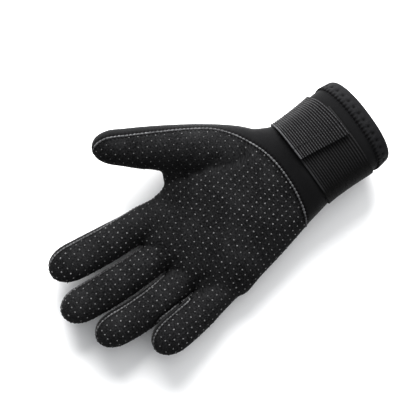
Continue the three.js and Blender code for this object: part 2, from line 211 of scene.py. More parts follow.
def curveThrough(rows, column, at):
    # smooth curve through a table, by its first column
    last = len(rows) - 1
    row = 0
    while row < last - 1 and at > rows[row + 1][0]:
        row += 1

    def slope(i):
        a, b = rows[max(i - 1, 0)], rows[min(i + 1, last)]
        return (b[column] - a[column]) / (b[0] - a[0])

    a, b = rows[row], rows[row + 1]
    run = b[0] - a[0]
    t = (at - a[0]) / run
    return ((2 * t**3 - 3 * t**2 + 1) * a[column] + (t**3 - 2 * t**2 + t) * run * slope(row)
            + (3 * t**2 - 2 * t**3) * b[column] + (t**3 - t**2) * run * slope(row + 1))


def turned(angle):
    return np.array([math.cos(angle), math.sin(angle), 0.0])


def eased(value):
    t = min(max(value, 0), 1)
    return t * t * (3 - 2 * t)


def palmSection(along):
    value = [curveThrough(palm["sections"], i, along) for i in range(7)]
    return {
        "centre": np.array([value[1] * palm["width"], along * palm["length"] - palm["fromWrist"],
                            value[4] * palm["depth"]]),
        "side": turned(math.radians(value[5])), "top": up,
        "half": value[2] * palm["width"], "rise": value[3] * palm["depth"], "power": value[6],
        "level": turned(math.radians(value[5])), "turn": 0.0,
    }


def cuffSection(distance):
    at = min(distance / cuff["length"], 1)
    yaw = math.radians(cuff["yaw"])
    axis = np.array([math.sin(yaw), -math.cos(yaw), 0.0])
    pitch = math.radians(curveThrough(cuff["sections"], 3, at))
    return {
        "centre": np.array([cuff["offAxis"], -palm["fromWrist"], cuff["lift"]]) + axis * distance,
        "side": turned(yaw), "top": up * math.cos(pitch) + axis * math.sin(pitch),
        "half": curveThrough(cuff["sections"], 1, at) * cuff["width"],
        "rise": curveThrough(cuff["sections"], 2, at) * cuff["depth"], "power": cuff["power"],
    }


pathSteps = 60


def digitPath(name):
    digit = digits[name]
    across, along, lift = digit["root"]
    at = np.array([across * palm["width"], along * palm["length"] - palm["fromWrist"], lift * palm["depth"]])
    path = []
    for i in range(pathSteps + 1):
        t = i / pathSteps
        heading = math.radians(digit["heading"][0] * (1 - t) + digit["heading"][1] * t)
        climb = math.radians(digit["lift"][0] * (1 - t) + digit["lift"][1] * t)
        axis = np.array([math.sin(heading) * math.cos(climb), math.cos(heading) * math.cos(climb),
                         math.sin(climb)])
        path.append((at.copy(), axis))
        at = at + axis * digit["length"] / pathSteps
    return path


paths = {name: digitPath(name) for name in digits}


def digitSection(name, along):
    digit = digits[name]
    table = thumbSections if name == "thumb" else fingerSections
    step = min(max(along, 0), 1) * pathSteps
    low = min(int(step), pathSteps - 1)
    a, b = paths[name][low], paths[name][low + 1]
    axis = a[1] * (1 - step + low) + b[1] * (step - low)
    axis = axis / np.linalg.norm(axis)
    level = np.cross(axis, up)
    level = level / np.linalg.norm(level)
    top = np.cross(level, axis)
    grown = eased((along - thumbTurn["from"]) / thumbTurn["over"]) if name == "thumb" else 0
    turn = math.radians(thumbTurn["degrees"]) * grown
    return {
        "centre": a[0] * (1 - step + low) + b[0] * (step - low), "level": level, "turn": turn,
        "side": level * math.cos(turn) + top * math.sin(turn),
        "top": top * math.cos(turn) - level * math.sin(turn),
        "half": curveThrough(table, 1, along) * digit["width"],
        "rise": curveThrough(table, 2, along) * digit["depth"] * (1 - thumbTurn["flatter"] * grown),
        "power": tip["sectionPower"],
    }


def onSection(section, angle, grow=0.0):
    # angle 0 is the thumb side, 90 the palm side
    c, s = math.cos(math.radians(angle)), math.sin(math.radians(angle))
    bend = 2 / section["power"]
    x = max(section["half"] + grow, 0.05) * math.copysign(abs(c) ** bend, c)
    z = max(section["rise"] + grow, 0.05) * math.copysign(abs(s) ** bend, s)
    return section["centre"] + section["side"] * x + section["top"] * z


def roundEnd(left, run, power):
    t = min(max(1 - left / run, 0), 1)
    return (1 - t**power) ** (1 / power)


def loft(bm, sections):
    # one closed tube: a capped circle is extruded from section to section
    count = skin["ringPoints"]
    turn = bm.verts.layers.float.get("turn") or bm.verts.layers.float.new("turn")
    start = bmesh.ops.create_circle(bm, cap_ends=True, segments=count, radius=1)["verts"]
    for i, vert in enumerate(start):
        vert[turn] = 360 * i / count
    face = start[0].link_faces[0]
    for i, section in enumerate(sections):
        if i > 0:
            grown = bmesh.ops.extrude_face_region(bm, geom=[face])["geom"]
            face = [g for g in grown if isinstance(g, bmesh.types.BMFace)][0]
        for vert in face.verts:
            vert.co = onSection(section, vert[turn], -skin["inset"])


def roundStations(reach, run, last):
    # places along a rounded end, closer and closer to its tip
    return [reach - run * (1 - math.sin(math.radians(a))) for a in range(6, last, 6)]


def bodySections():
    start = cuff["length"] + skin["pastCuff"]
    sections = [cuffSection(distance) for distance in range(start, 0, -skin["ringStep"])]
    reach, run = palm["length"], palm["endRound"]
    stations = list(np.linspace(skin["palmFrom"], (reach - run) / reach, skin["palmRings"]))
    stations += [distance / reach for distance in roundStations(reach, run, 88)]
    for along in stations:
        section = palmSection(along)
        left = reach - along * reach
        section["half"] *= roundEnd(left, run, 5)
        section["rise"] *= roundEnd(left, run, 2)
        sections.append(section)
    return sections


def digitSections(name):
    full = digits[name]["length"]
    length, end = full - skin["inset"], tip["share"] * digits[name]["width"]
    stations = list(np.linspace(0, length - end, skin["digitRings"]))
    stations += roundStations(length, end, 89)
    sections = []
    for distance in stations:
        section = digitSection(name, distance / full)
        closed = roundEnd(length - distance, end, tip["power"])
        section["half"] *= closed
        section["rise"] *= closed
        sections.append(section)
    return sections


def evaluated(piece):
    graph = bpy.context.evaluated_depsgraph_get()
    return bpy.data.meshes.new_from_object(piece.evaluated_get(graph))


def makeHandForm():
    bm = bmesh.new()
    loft(bm, bodySections())
    for name in digits:
        loft(bm, digitSections(name))
    ball = bmesh.ops.create_uvsphere(bm, u_segments=32, v_segments=20, radius=1)["verts"]
    size = (web["half"] * palm["width"], web["reach"] * palm["length"], web["rise"] * palm["depth"])
    at = (web["across"] * palm["width"], web["along"] * palm["length"] - palm["fromWrist"],
          web["lift"] * palm["depth"])
    bmesh.ops.scale(bm, verts=ball, vec=size)
    bmesh.ops.translate(bm, verts=ball, vec=at)
    bmesh.ops.recalc_face_normals(bm, faces=bm.faces)
    mesh = bpy.data.meshes.new("handForm")
    bm.to_mesh(mesh)
    bm.free()
    form = makeObject("handForm", mesh)
    fuse = form.modifiers.new("fuse", "REMESH")
    fuse.mode = "VOXEL"
    fuse.voxel_size = skin["voxel"]
    fused = evaluated(form)
    bpy.data.objects.remove(form)
    print("hand form", len(fused.vertices), "points")
    return fused


# where a point lies on the hand
def framesOf(sections):
    keys = ("centre", "side", "top", "half", "rise", "power", "level", "turn")
    return {key: np.array([s[key] for s in sections]) for key in keys}


digitFrames = {name: framesOf([digitSection(name, i / pathSteps) for i in range(pathSteps + 1)])
               for name in digits}
palmFrames = framesOf([palmSection(i / 100) for i in range(101)])
axesOf = {name: np.array([axis for _, axis in paths[name]]) for name in digits}


def nearestFrame(points, centres):
    best = np.zeros(len(points), int)
    least = np.full(len(points), 1e9)
    for i, centre in enumerate(centres):
        far = ((points - centre) ** 2).sum(1)
        closer = far < least
        best[closer] = i
        least[closer] = far[closer]
    return best


def within(points, frames, at):
    # across and above the centre line, and how far out of the section's outline
    low = np.minimum(at.astype(int), len(frames["half"]) - 2)
    part = at - low

    def mixed(key):
        value = frames[key]
        share = part if value.ndim == 1 else part[:, None]
        return value[low] * (1 - share) + value[low + 1] * share

    off = points - mixed("centre")
    across = (off * mixed("side")).sum(1)
    above = (off * mixed("top")).sum(1)
    half, rise = mixed("half"), mixed("rise")
    return {"centre": mixed("centre"), "level": mixed("level"), "turn": mixed("turn"), "at": at,
            "across": across, "above": above,
            "half": half, "rise": rise, "power": mixed("power"),
            "out": np.sqrt((across / half) ** 2 + (above / rise) ** 2)}


def places(points):
    found = {}
    for name in digits:
        frames = digitFrames[name]
        index = nearestFrame(points, frames["centre"])
        ahead = ((points - frames["centre"][index]) * axesOf[name][index]).sum(1)
        at = index + ahead / (digits[name]["length"] / pathSteps)
        place = within(points, frames, np.clip(at, 0, pathSteps))
        before = -at * digits[name]["length"] / pathSteps
        place["out"] += np.maximum(before, 0) / skin["endFade"]
        place["along"] = at / pathSteps
        found[name] = place
    at = (points[:, 1] + palm["fromWrist"]) / palm["length"] * 100
    place = within(points, palmFrames, np.clip(at, 0, 100))
    past = points[:, 1] - (palm["length"] - palm["fromWrist"] - skin["palmEnd"])
    place["out"] += np.maximum(past, 0) / skin["endFade"]
    place["along"] = at / 100
    found["palm"] = place
    return found


def shares(found, sharpness):
    raw = {name: np.exp(-sharpness * (np.minimum(p["out"], 4) ** 2 - 1)) for name, p in found.items()}
    total = sum(raw.values())
    return {name: value / total for name, value in raw.items()}


# line of the seam
seam = {
    # seen from above, shares of the palm's width and of its length from the wrist
    "line": [
        (0.74, 1.1), (0.785, 1.0), (0.785, 0.93), (0.765, 0.87), (0.735, 0.8), (0.7, 0.715),
        (0.66, 0.62), (0.62, 0.525), (0.58, 0.435), (0.52, 0.335), (0.43, 0.245), (0.33, 0.175),
        (0.22, 0.12), (0.1, 0.085), (-0.03, 0.068), (-0.17, 0.065), (-0.3, 0.08), (-0.44, 0.12),
    ],
    "corner": 3,         # rounding where the line meets the sides
    "level": -0.12,      # height on the body, share of its rise
    "tilt": 3,           # degrees that it climbs across the body
    "rollFrom": 0.5,
    "middle": 2,         # rounding where a digit's two rolls meet
    "snap": 0.25,        # share of an edge within which a point is drawn onto the line
    "edgeGap": 0.1,      # the panels' edges stand back from the line
    "step": 0.45,
    "stitch": 2.7, "thread": (1.8, 0.24), "slant": 0.35,
    "bead": 0.82, "lift": (0.06, 0.1), "lumps": (0.8, 1.12),
    "notch": 0.3,        # share of the bead's radius that each stitch draws in
    # the skin beside the bead: its height and width, then how dark the painted shade is and how wide
    "reach": 6, "swell": (-0.45, 1.7), "pucker": (0.24, 2.2),
    "tuck": (0.8, 1.3), "grooveShade": (0.5, 1.2),
}


def smoothLine(rows, steps):
    # rounded path through points, by Catmull and Rom with steps by the root of the distance
    points = [np.array(p, float) for p in rows]
    points = [2 * points[0] - points[1]] + points + [2 * points[-1] - points[-2]]
    line = []
    for i in range(1, len(points) - 2):
        p0, p1, p2, p3 = points[i - 1:i + 3]
        t0 = 0
        t1 = t0 + math.sqrt(np.linalg.norm(p1 - p0))
        t2 = t1 + math.sqrt(np.linalg.norm(p2 - p1))
        t3 = t2 + math.sqrt(np.linalg.norm(p3 - p2))
        for t in np.linspace(t1, t2, steps, endpoint=False):
            a1 = (t1 - t) / (t1 - t0) * p0 + (t - t0) / (t1 - t0) * p1
            a2 = (t2 - t) / (t2 - t1) * p1 + (t - t1) / (t2 - t1) * p2
            a3 = (t3 - t) / (t3 - t2) * p2 + (t - t2) / (t3 - t2) * p3
            b1 = (t2 - t) / (t2 - t0) * a1 + (t - t0) / (t2 - t0) * a2
            b2 = (t3 - t) / (t3 - t1) * a2 + (t - t1) / (t3 - t1) * a3
            line.append((t2 - t) / (t2 - t1) * b1 + (t - t1) / (t2 - t1) * b2)
    return line + [points[-2]]


def insideLine(points):
    # distance inside the seam's line seen from above, below 0 outside
    rows = [(a * palm["width"], b * palm["length"] - palm["fromWrist"]) for a, b in seam["line"]]
    line = smoothLine(rows, 8)
    line = [np.array([line[0][0], 400.0])] + line + [np.array([-400.0, line[-1][1]])]
    best = np.full(len(points), 1e9)
    value = np.zeros(len(points))
    flat = points[:, :2]
    for a, b in zip(line, line[1:]):
        run = b - a
        t = np.clip(((flat - a) @ run) / (run @ run), 0, 1)
        off = flat - (a + t[:, None] * run)
        far = np.sqrt((off ** 2).sum(1))
        left = (run[0] * off[:, 1] - run[1] * off[:, 0]) / math.sqrt(run @ run)
        closer = far < best - 1e-6
        best[closer] = far[closer]
        value[closer] = np.where(left[closer] > 0, -far[closer], far[closer])
    return value


def palmSideOf(points, found):
    # above 0 on the palm's panel, below 0 on the back's
    share = shares(found, skin["sharpSeam"])
    value = 0
    for name, p in found.items():
        if name == "palm":
            side = p["above"] - seam["level"] * p["rise"]
            side = side - math.tan(math.radians(seam["tilt"])) * p["across"]
        else:
            grow = np.clip(p["along"] / seam["rollFrom"], 0, 1)
            down, climb = (np.tan(np.radians(angle * grow)) for angle in digits[name]["roll"])
            rounded = np.sqrt(p["across"] ** 2 + seam["middle"] ** 2) - seam["middle"]
            side = p["above"] + down * 0.5 * (rounded - p["across"]) - climb * 0.5 * (rounded + p["across"])
        value = value + share[name] * side
    line = insideLine(points)
    k = seam["corner"]
    return -k * np.logaddexp(-value / k, -line / k)


# the sewn skin
folds = [
    # soft creases on the palm side: (from, to, depth, width), below 0 a swelling
    ((35.5, 31), (33, 20), 1.5, 2.4), ((33, 20), (32, 9), 1.7, 2.2), ((32, 9), (34, -7), 0.9, 3.4),
    ((8.5, 72), (9.5, 60), 1.0, 3.0), ((-17, 66), (-15, 54), 1.0, 3.0), ((-38, 53), (-35, 42), 1.0, 3.0),
    ((-30, 2), (4, 22), 1.1, 13), ((20, -14), (44, 4), -0.8, 9), ((-38, 12), (-33, 32), -0.7, 8),
    ((-20, 42), (20, 50), -0.6, 9), ((4, -38), (26, -31), 0.5, 3.2), ((-24, -37), (-8, -34), 0.45, 3.0),
]


def foldDepth(points):
    # a crease fades towards its two ends
    total = np.zeros(len(points))
    for start, end, depth, width in folds:
        a, run = np.array(start, float), np.array(end, float) - start
        t = np.clip(((points[:, :2] - a) @ run) / (run @ run), 0, 1)
        far = np.linalg.norm(points[:, :2] - a - t[:, None] * run, axis=1)
        total += depth * np.exp(-(far / width) ** 2)
    return total


def coordsOf(bm):
    return np.array([v.co for v in bm.verts])


def setCoords(bm, coords):
    for vert, co in zip(bm.verts, coords):
        vert.co = co


def smooth(bm, verts, rounds):
    for _ in range(rounds):
        bmesh.ops.smooth_vert(bm, verts=verts, factor=0.5, use_axis_x=True, use_axis_y=True, use_axis_z=True)


def cutSeam(bm, value):
    # points near the line are drawn onto it, and every other edge that crosses it is split
    def crossing(edge):
        a, b = edge.verts
        return a[value] * b[value] < 0

    for vert in bm.verts:
        best = seam["snap"]
        target = None
        for edge in vert.link_edges:
            if crossing(edge):
                other = edge.other_vert(vert)
                share = vert[value] / (vert[value] - other[value])
                if share < best:
                    best, target = share, vert.co.lerp(other.co, share)
        if target:
            vert.co = target
            vert[value] = 0
    for edge in [e for e in bm.edges if crossing(e)]:
        a, b = edge.verts
        vert = bmesh.utils.edge_split(edge, a, a[value] / (a[value] - b[value]))[1]
        vert[value] = 0
    bmesh.ops.connect_verts(bm, verts=[v for v in bm.verts if v[value] == 0])
    sides = {face: sum(v[value] for v in face.verts) > 0 for face in bm.faces}
    # islands are given back to the side that surrounds them
    left = set(bm.faces)
    islands = []
    while left:
        first = left.pop()
        island, ahead = [first], [first]
        while ahead:
            for edge in ahead.pop().edges:
                for face in edge.link_faces:
                    if face in left and sides[face] == sides[first]:
                        left.discard(face)
                        island.append(face)
                        ahead.append(face)
        islands.append(island)
    islands.sort(key=len)
    for island in islands[:-2]:
        for face in island:
            sides[face] = not sides[face]
    print("panels of", [len(island) for island in islands][-5:], "faces")
    edges = [e for e in bm.edges if len(e.link_faces) == 2
             and sides[e.link_faces[0]] != sides[e.link_faces[1]]]
    return sides, edges


def longestLoop(edges):
    nexts = {}
    for edge in edges:
        a, b = edge.verts
        nexts.setdefault(a, []).append(b)
        nexts.setdefault(b, []).append(a)
    loops = []
    left = set(nexts)
    while left:
        # the first in the edges' order, so that every run starts the seam at the same point
        start = next(vert for vert in nexts if vert in left)
        left.discard(start)
        loop = [start]
        here = start
        while True:
            ahead = [v for v in nexts[here] if v in left]
            if not ahead:
                break
            here = ahead[0]
            left.discard(here)
            loop.append(here)
        loops.append(loop)
    loops.sort(key=len, reverse=True)
    print("seam loops", [len(loop) for loop in loops][:6])
    return loops[0]


def fillOut(bm):
    # out along the normals, less the creases, and flat where the back of the hand lies down
    bm.normal_update()
    depth = foldDepth(coordsOf(bm))
    for vert, hollow in zip(bm.verts, depth):
        vert.co += vert.normal * (skin["fill"] - hollow * eased(vert.normal.z / skin["facing"]))
    points = coordsOf(bm)
    height = points[:, 2]
    height = 0.5 * (height + np.sqrt(height ** 2 + skin["restSoft"])) - skin["restGap"]
    points[:, 2] = np.maximum(height, skin["restGap"])
    setCoords(bm, points)


def trimCuff(bm):
    rim = cuffSection(skin["trim"])
    outward = np.cross(rim["side"], rim["top"])
    outward = outward * -math.copysign(1, outward[1])
    bmesh.ops.bisect_plane(bm, geom=bm.verts[:] + bm.edges[:] + bm.faces[:], dist=0.01,
                           plane_co=rim["centre"], plane_no=outward, clear_outer=True)


def measureSeam(bm, value):
    tiny = 1e-5      # no point lies on the line before it is cut
    points = coordsOf(bm)
    for vert, side in zip(bm.verts, palmSideOf(points, places(points))):
        vert[value] = side if abs(side) > tiny else tiny


def makeSkin():
    fused = makeHandForm()
    bm = bmesh.new()
    bm.from_mesh(fused)
    bpy.data.meshes.remove(fused)
    smooth(bm, bm.verts, skin["smoothAll"])
    points = coordsOf(bm)
    share = shares(places(points), skin["sharpForks"])
    fork = 1 - np.max(np.array(list(share.values())), axis=0)
    inFork = (fork > skin["forkShare"]) & (points[:, 1] > skin["forksPast"])
    bm.verts.ensure_lookup_table()
    smooth(bm, [bm.verts[i] for i in np.nonzero(inFork)[0]], skin["smoothForks"])
    crook = Vector((*skin["webAt"], 0))
    inCrook = [v for v in bm.verts if (v.co.xy.to_3d() - crook).length < skin["webRound"]]
    smooth(bm, inCrook, skin["smoothWeb"])
    smooth(bm, bm.verts, skin["smoothLast"])
    fillOut(bm)
    trimCuff(bm)
    bm.verts.layers.float.new("relief")      # 0 to 1, low where the material paints shade: the ribs' height, or the painted shade of the seam and hem
    value = bm.verts.layers.float.new("palmSide")
    measureSeam(bm, value)
    near = [e for e in bm.edges if min(abs(v[value]) for v in e.verts) < skin["fineNear"]]
    bmesh.ops.subdivide_edges(bm, edges=near, cuts=1, use_grid_fill=True, smooth=0.0)
    measureSeam(bm, value)
    near = [v for v in bm.verts if abs(v[value]) < skin["smoothNear"] and not v.is_boundary]
    smooth(bm, near, skin["smoothLast"])
    measureSeam(bm, value)
    return bm, value


# cloth coordinates
dots = {
    "across": 4.75, "shift": 1.15, "down": 5.0,    # steps of the lattice
    "first": (0, 56),
    "radius": 0.56, "height": 0.36, "onThumb": 0.72,
    "sizes": (0.85, 1.15), "widths": (0.85, 1.1),
    "fromSeam": 1.7, "apart": 3.5,
    "rowTilt": 0.13, "thumbTurn": 12, "pivot": (40, 8), "base": 62,
    # rows rise towards the thumb: how steeply, from where across, over what run, and up to where
    "rise": 0.2, "riseLag": 9, "riseFrom": 22, "riseRun": 5, "riseEnd": 36, "riseFade": 12,
}


def arcTable(frames):
    # length round each section from its palm side, towards the thumb side above 0
    around = np.radians(90 - np.linspace(-180, 180, 181))
    c, s = np.cos(around), np.sin(around)
    rows = []
    for half, rise, power in zip(frames["half"], frames["rise"], frames["power"]):
        x = half * np.sign(c) * abs(c) ** (2 / power)
        z = rise * np.sign(s) * abs(s) ** (2 / power)
        arc = np.concatenate([[0], np.cumsum(np.hypot(np.diff(x), np.diff(z)))])
        rows.append(arc - arc[90])
    return np.array(rows)


def arcAlong(table, place):
    index = np.minimum(np.rint(place["at"]).astype(int), len(table) - 1)
    power = place["power"] / 2
    x, z = place["across"] / place["half"], place["above"] / place["rise"]
    angle = 90 - np.degrees(np.arctan2(np.sign(z) * abs(z) ** power, np.sign(x) * abs(x) ** power))
    angle = (angle + 180) % 360
    low = np.minimum((angle / 2).astype(int), 179)
    part = angle / 2 - low
    return table[index, low] * (1 - part) + table[index, low + 1] * part


arcs = {name: arcTable(palmFrames if name == "palm" else digitFrames[name])
        for name in list(digits) + ["palm"]}


def palmCloth(x, y):
    # rows of dots rise towards the thumb on the ball of the thumb
    start = np.minimum(y - dots["riseLag"], dots["riseFrom"])
    bend = np.logaddexp(0, (x - start) / dots["riseRun"]) * dots["riseRun"]
    fade = np.clip((dots["riseEnd"] - y) / dots["riseFade"], 0, 1)
    return np.column_stack([x, y - dots["rise"] * bend * fade * fade * (3 - 2 * fade)])


def fabricCoords(points, found):
    # where a point lies on the flat cloth, in millimetres, the fingers' cloth running along them
    share = shares(found, skin["sharpCloth"])
    total = np.zeros((len(points), 2))
    pivot = np.array(dots["pivot"], float)
    for name, p in found.items():
        arc = arcAlong(arcs[name], p)
        if name == "palm":
            spot = palmCloth(points[:, 0] + np.where(p["across"] < 0, arc - p["across"], 0), points[:, 1])
        elif name == "thumb":
            arc = arc - p["turn"] * (p["half"] + p["rise"]) / 2
            flat = (p["centre"] + p["level"] * arc[:, None])[:, :2] - pivot
            turn = math.radians(dots["thumbTurn"])
            spot = np.column_stack([flat @ (math.cos(turn), math.sin(turn)),
                                    flat @ (-math.sin(turn), math.cos(turn))])
            spot = spot + palmCloth(pivot[:1], pivot[1:])
        else:
            centres = digitFrames[name]["centre"]
            base = int(np.argmin(abs(centres[:, 1] - dots["base"])))
            along = (p["along"] - base / pathSteps) * digits[name]["length"]
            spot = np.column_stack([centres[base, 0] + arc, dots["base"] + along - dots["rowTilt"] * arc])
        total += spot * share[name][:, None]
    return total


# materials
looks = {
    "smoothNeoprene": {"uv": True, "dark": (0.005, 0.005, 0.0055), "light": (0.009, 0.009, 0.0095),
                       "rough": 0.72, "grain": 2.2, "knit": 0.9, "bump": 0.25,
                       "specular": 0.05, "sheen": 0.1, "hollow": 0.2},
    "gripNeoprene": {"uv": True, "dark": (0.003, 0.003, 0.0033), "light": (0.023, 0.023, 0.0238),
                     "spread": 0.13, "rough": 0.8, "grain": 0.75, "knit": 0.7, "bump": 0.5,
                     "specular": 0.05, "sheen": 0.015, "hollow": 0.12},
    # seam tape: its own lighter thread colour, raised further as a painted sheen along the bead
    "seamTapeAndSheen": {"dark": (0.035, 0.035, 0.036), "light": (0.15, 0.15, 0.153), "spread": 0.14,
                 "rough": 0.7, "grain": 0.8, "knit": 0.6, "bump": 0.5, "specular": 0.15, "sheen": 0.05},
    "hemNeoprene": {"dark": (0.008, 0.008, 0.009), "light": (0.018, 0.018, 0.019), "spread": 0.17,
                    "rough": 0.75, "grain": 1.2, "knit": 0.9, "specular": 0.08, "sheen": 0.06,
                    "hollow": 0.08},
    "strapElastic": {"dark": (0.015, 0.015, 0.016), "light": (0.032, 0.032, 0.033),
                     "rough": 0.6, "grain": 1.8, "knit": 0.8, "specular": 0.08, "sheen": 0.03,
                     "hollow": 0.04, "paintedShadeFrom": 0.3},
    "tabElastic": {"dark": (0.028, 0.028, 0.030), "light": (0.085, 0.085, 0.088), "spread": 0.17,
                   "rough": 0.5, "grain": 1.2, "knit": 0.8, "specular": 0.12, "sheen": 0.02,
                   "hollow": 0.005, "paintedShadeFrom": 0.52},
    "thread": {"dark": (0.004, 0.004, 0.005), "light": (0.012, 0.012, 0.013),
               "rough": 0.5, "grain": 3, "knit": 2, "bump": 0.3, "specular": 0.15},
    "gripRubber": {"dark": (0.03, 0.03, 0.03), "light": (0.18, 0.18, 0.18), "spread": 0.15,
                   "rough": 0.35, "grain": 0.35, "knit": 0.5, "bump": 0.15, "specular": 0.4},
    "hookTape": {"dark": (0.006, 0.006, 0.006), "light": (0.014, 0.014, 0.014),
                 "rough": 0.55, "grain": 2.5, "knit": 1.2, "bump": 0.8, "specular": 0.2},
}
# what a look has where it says nothing else; hollow is how much colour the painted shade leaves in the
# relief's hollows, from paintedShadeFrom down
plainLook = {"uv": False, "spread": 0.2, "bump": 0.4, "sheen": 0.0, "hollow": 1, "paintedShadeFrom": 0.15,
             "mottle": 0.05, "mottleShare": 0.3, "roughSpread": 0.08, "knitTwist": 3, "relief": 0.0002}


def clothMaterial(name, look):
    # dark cloth: grain and slow mottling in the colour, painted shade in the relief's hollows, knit and grain
    # in the bump
    material = bpy.data.materials.new(name)
    material.use_nodes = True
    nodes, links = material.node_tree.nodes, material.node_tree.links

    def plug(node, inputs):
        # each socket is linked to another node's, or set to a value
        for socket, value in inputs.items():
            if isinstance(value, bpy.types.NodeSocket):
                links.new(value, node.inputs[socket])
            else:
                node.inputs[socket].default_value = value

    def add(kind, inputs, **settings):
        node = nodes.new("ShaderNode" + kind)
        for setting, value in settings.items():
            setattr(node, setting, value)
        plug(node, inputs)
        return node.outputs

    def shaded(value, low, dark, high, light):
        colour = add("ValToRGB", {"Fac": value})["Color"]
        ends = colour.node.color_ramp.elements
        ends[0].position, ends[1].position = low, high
        ends[0].color, ends[1].color = (*dark, 1), (*light, 1)
        return colour

    coords, scale = ("UV", 1) if look["uv"] else ("Object", 1000)
    size = add("Mapping", {"Vector": add("TexCoord", {})[coords], "Scale": (scale, scale, scale)})["Vector"]

    def noise(detail, density):
        return add("TexNoise", {"Vector": size, "Scale": density, "Detail": detail, "Roughness": 0.6})["Fac"]

    grain, slow = noise(3, look["grain"]), noise(2, look["mottle"])
    weak = add("Math", {0: slow, 1: look["mottleShare"]}, operation="MULTIPLY")[0]
    mixed = add("Math", {0: grain, 1: 1 - look["mottleShare"], 2: weak}, operation="MULTIPLY_ADD")[0]
    colour = shaded(mixed, 0.5 - look["spread"], look["dark"], 0.5 + look["spread"], look["light"])
    # painted shade: the colour is darkened where the relief attribute is low
    if look["hollow"] < 1:
        relief = add("Attribute", {}, attribute_name="relief")["Fac"]
        depth = shaded(relief, look["paintedShadeFrom"], [look["hollow"]] * 3, 1, (1, 1, 1))
        inputs = {"Factor": 1, "A": colour, "B": depth}
        colour = add("Mix", inputs, data_type="RGBA", blend_type="MULTIPLY")["Result"]
    low, high = look["rough"] - look["roughSpread"], look["rough"] + look["roughSpread"]
    rough = add("MapRange", {"Value": grain, "To Min": low, "To Max": high})["Result"]
    inputs = {"Vector": size, "Scale": look["knit"], "Distortion": look["knitTwist"], "Detail": 1,
              "Detail Scale": 2}
    knit = add("TexWave", inputs, wave_type="BANDS", bands_direction="X")["Fac"]
    height = add("Math", {0: knit, 1: grain}, operation="ADD")[0]
    bump = add("Bump", {"Strength": look["bump"], "Distance": look["relief"], "Height": height})["Normal"]
    plug(nodes["Principled BSDF"], {
        "Base Color": colour, "Roughness": rough, "Normal": bump, "Specular IOR Level": look["specular"],
        "Sheen Weight": look["sheen"], "Sheen Roughness": 0.45,
    })
    return material


materials = {name: clothMaterial(name, {**plainLook, **look}) for name, look in looks.items()}
print("materials", len(materials))


# small shapes, repeated
def repeatShape(seed, wheres):
    seed.verts.ensure_lookup_table()
    points = np.array([[*v.co, 1.0] for v in seed.verts])
    faces = np.array([[v.index for v in f.verts] for f in seed.faces])
    placed = np.einsum("kij,nj->kni", np.array(wheres), points)[:, :, :3].reshape(-1, 3)
    count = len(points)
    many = (faces[None] + (np.arange(len(wheres)) * count)[:, None, None]).reshape(-1, faces.shape[1])
    mesh = bpy.data.meshes.new("repeated")
    mesh.from_pydata(placed.tolist(), [], many.tolist())
    mesh.update()
    return mesh


def frameAt(place, along, out, size=(1, 1, 1)):
    # x along, z out of the surface
    out = np.array(out) / np.linalg.norm(out)
    along = np.array(along) - out * (np.array(along) @ out)
    along = along / np.linalg.norm(along)
    turn = np.eye(4)
    turn[:3, 0], turn[:3, 1], turn[:3, 2] = along * size[0], np.cross(out, along) * size[1], out * size[2]
    turn[:3, 3] = place
    return turn


def threadGrain(length, radius):
    # a small ball drawn out along x
    seed = bmesh.new()
    bmesh.ops.create_icosphere(seed, subdivisions=1, radius=1)
    bmesh.ops.scale(seed, verts=seed.verts, vec=(length / 2, radius, radius))
    return seed


def dome(radius, height):
    seed = bmesh.new()
    bmesh.ops.create_icosphere(seed, subdivisions=2, radius=1)
    bmesh.ops.bisect_plane(seed, geom=seed.verts[:] + seed.edges[:] + seed.faces[:], dist=0.001,
                           plane_co=(0, 0, -0.3), plane_no=(0, 0, 1), clear_inner=True)
    bmesh.ops.triangulate(seed, faces=seed.faces)
    bmesh.ops.scale(seed, verts=seed.verts, vec=(radius, radius, height))
    return seed


# the two panels
def evenly(rows, step):
    # a closed path as points at equal steps
    rows = np.vstack([rows, rows[:1]])
    lengths = np.linalg.norm(np.diff(rows[:, :3], axis=0), axis=1)
    at = np.concatenate([[0], np.cumsum(lengths)])
    count = int(round(at[-1] / step))
    wanted = np.linspace(0, at[-1], count, endpoint=False)
    return np.column_stack([np.interp(wanted, at, rows[:, i]) for i in range(rows.shape[1])]), at[-1]


def seamPath(loop):
    rows, _ = evenly(np.array([[*v.co, *v.normal] for v in loop]), seam["step"])
    for _ in range(3):
        rows = sum(np.roll(rows, k, axis=0) for k in range(-2, 3)) / 5
    rows, total = evenly(rows, seam["step"])
    rows[:, 3:] /= np.linalg.norm(rows[:, 3:], axis=1)[:, None]
    return rows, total


def treeOf(points):
    tree = KDTree(len(points))
    for i, p in enumerate(points):
        tree.insert(p, i)
    tree.balance()
    return tree


def hump(far, width):
    return math.exp(-(far / width) ** 2)


def swellSeamAndPaintShade(bm, loop):
    # the skin sinks towards the seam and puckers between its stitches, and painted shade darkens the troughs
    # between puckers and the line itself
    path, total = seamPath(loop)
    period = total / round(total / seam["stitch"])
    tree = treeOf(path[:, :3])
    step = total / len(path)
    relief = bm.verts.layers.float["relief"]
    (swell, swellWidth), (pucker, puckerWidth) = seam["swell"], seam["pucker"]
    (tuck, tuckShadeWidth), (grooveShade, grooveShadeWidth) = seam["tuck"], seam["grooveShade"]
    moves = []
    for vert in bm.verts:
        _, index, far = tree.find(vert.co)
        vert[relief] = 1
        if far < seam["reach"]:
            wave = math.cos(2 * math.pi * index * step / period)
            moves.append((vert, swell * hump(far, swellWidth) + pucker * wave * hump(far, puckerWidth)))
            # painted shade: darker in the troughs between the puckers and along the seam line
            dark = tuck * (0.5 - 0.5 * wave) * hump(far - tuckShadeWidth, tuckShadeWidth)
            vert[relief] = max(1 - dark - grooveShade * hump(far, grooveShadeWidth), 0)
    bm.normal_update()
    for vert, amount in moves:
        vert.co += vert.normal * amount
    bm.normal_update()


